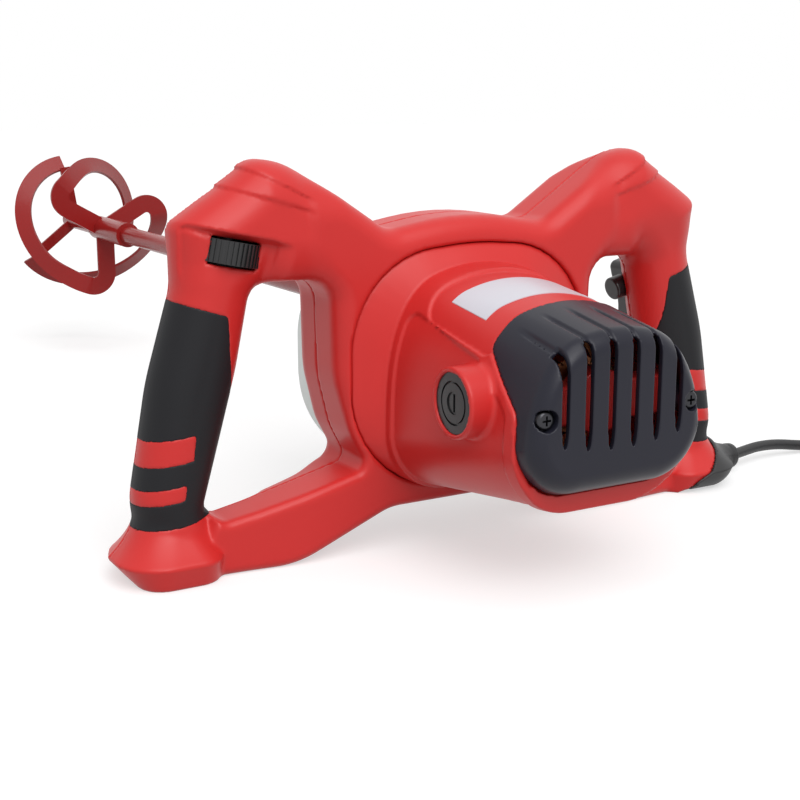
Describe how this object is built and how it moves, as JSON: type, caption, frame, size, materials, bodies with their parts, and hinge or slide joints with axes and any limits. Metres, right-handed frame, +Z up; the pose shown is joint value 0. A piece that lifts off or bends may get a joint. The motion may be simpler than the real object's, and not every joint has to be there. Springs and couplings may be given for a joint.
{
  "type": "mixing drill",
  "caption": "Hand-held electric mixing drill: wide handle frame on feet, rear motor barrel, gear case, long rod with a helical paddle, and its mains cord coiled beside it.",
  "frame": {"origin": "on the floor between the feet, under the middle of the drill's length without its cord", "axes": "+X across the handles to the trigger side, +Y along the spindle to the paddle, +Z up"},
  "size_m": [0.5672, 0.801, 0.1965],
  "materials": {
    "red_plastic": "satin moulded plastic",
    "grip_rubber": "matte moulded rubber",
    "dark_plastic": "satin dark grey plastic",
    "zinc_steel": "zinc plated",
    "label_film": "bare satin film",
    "lamination": "stacked sheets",
    "copper": "varnished copper",
    "brass": "plain",
    "carbon": "carbon block",
    "spring_steel": "plain",
    "bearing_steel": "ground",
    "gear_steel": "machined",
    "cast_aluminium": "as cast",
    "seal_rubber": "matte",
    "paddle_paint": "gloss paint",
    "component_plastic": "moulded",
    "cord_rubber": "matte cable sheath",
    "strap_fabric": "woven strap",
    "pin_brass": "nickel plated"
  },
  "bodies": {
    "housing": {"handle_shell_rear": "red_plastic", "handle_shell_front": "red_plastic", "left_grip_rubber": "grip_rubber", "right_grip_rubber": "grip_rubber", "handle_screws": "zinc_steel", "motor_housing": "red_plastic", "rear_cap": "dark_plastic", "rear_cap_screws": "zinc_steel", "label_plate": "label_film", "stator_core": "lamination", "field_coils": "copper", "brush_holders": "brass", "carbon_brushes": "carbon", "brush_springs": "spring_steel", "brush_caps": "dark_plastic", "rear_motor_bearing": "bearing_steel", "front_motor_bearing": "bearing_steel", "gear_plate": "cast_aluminium", "gear_case": "cast_aluminium", "gear_case_screws": "zinc_steel", "countershaft_bushes": "brass", "spindle_bearings": "bearing_steel", "spindle_seal": "seal_rubber", "trigger_switch": "component_plastic", "speed_module": "component_plastic", "suppressor": "component_plastic", "cord_clamp": "dark_plastic", "cord_clamp_screws": "zinc_steel", "power_cord": "cord_rubber", "cable_boot": "cord_rubber", "cord_coil": "cord_rubber", "coil_tie": "strap_fabric", "plug_body": "cord_rubber", "plug_pins": "pin_brass"},
    "armature": {"armature_shaft": "gear_steel", "armature_core": "lamination", "armature_winding": "copper", "commutator": "copper", "cooling_fan": "dark_plastic", "motor_pinion": "gear_steel"},
    "countershaft": {"countershaft": "gear_steel", "first_gear": "gear_steel"},
    "spindle": {"spindle": "gear_steel", "output_gear": "gear_steel", "output_gear_key": "gear_steel", "gear_circlip": "spring_steel", "paddle_rod": "paddle_paint", "paddle_nut": "gear_steel", "paddle_hub": "paddle_paint", "paddle_blades": "paddle_paint", "paddle_arms": "paddle_paint"},
    "trigger": {"trigger": "dark_plastic"},
    "lock_button": {"lock_button": "dark_plastic"},
    "speed_dial": {"speed_dial": "dark_plastic"}
  },
  "joints": [
    {"name": "spindle_spin", "type": "hinge", "parent": "housing", "child": "spindle", "pos_m": [0, -0.2, 0.1082], "axis": [0, 1, 0], "continuous": true},
    {"name": "countershaft_spin", "type": "hinge", "parent": "housing", "child": "countershaft", "pos_m": [0.02942, -0.22, 0.08395], "axis": [0, 1, 0], "continuous": true},
    {"name": "armature_spin", "type": "hinge", "parent": "housing", "child": "armature", "pos_m": [0, -0.3, 0.092], "axis": [0, 1, 0], "continuous": true},
    {"name": "trigger_press", "type": "slide", "parent": "housing", "child": "trigger", "axis": [0, -1, 0], "range_m": [0, 0.006], "stiffness_N_per_m": 600, "springref_m": -0.004},
    {"name": "lock_press", "type": "slide", "parent": "housing", "child": "lock_button", "axis": [0.9673, 0, 0.2535], "range_m": [0, 0.003], "stiffness_N_per_m": 500, "springref_m": -0.003},
    {"name": "dial_turn", "type": "hinge", "parent": "housing", "child": "speed_dial", "pos_m": [-0.128, -0.262, 0.1548], "axis": [0.2079, 0, 0.9781], "range_deg": [0, 270]}
  ],
  "couplings": [
    {"joint": "countershaft_spin", "follows": "spindle_spin", "ratio": -4.5455},
    {"joint": "armature_spin", "follows": "spindle_spin", "ratio": 23.182}
  ]
}
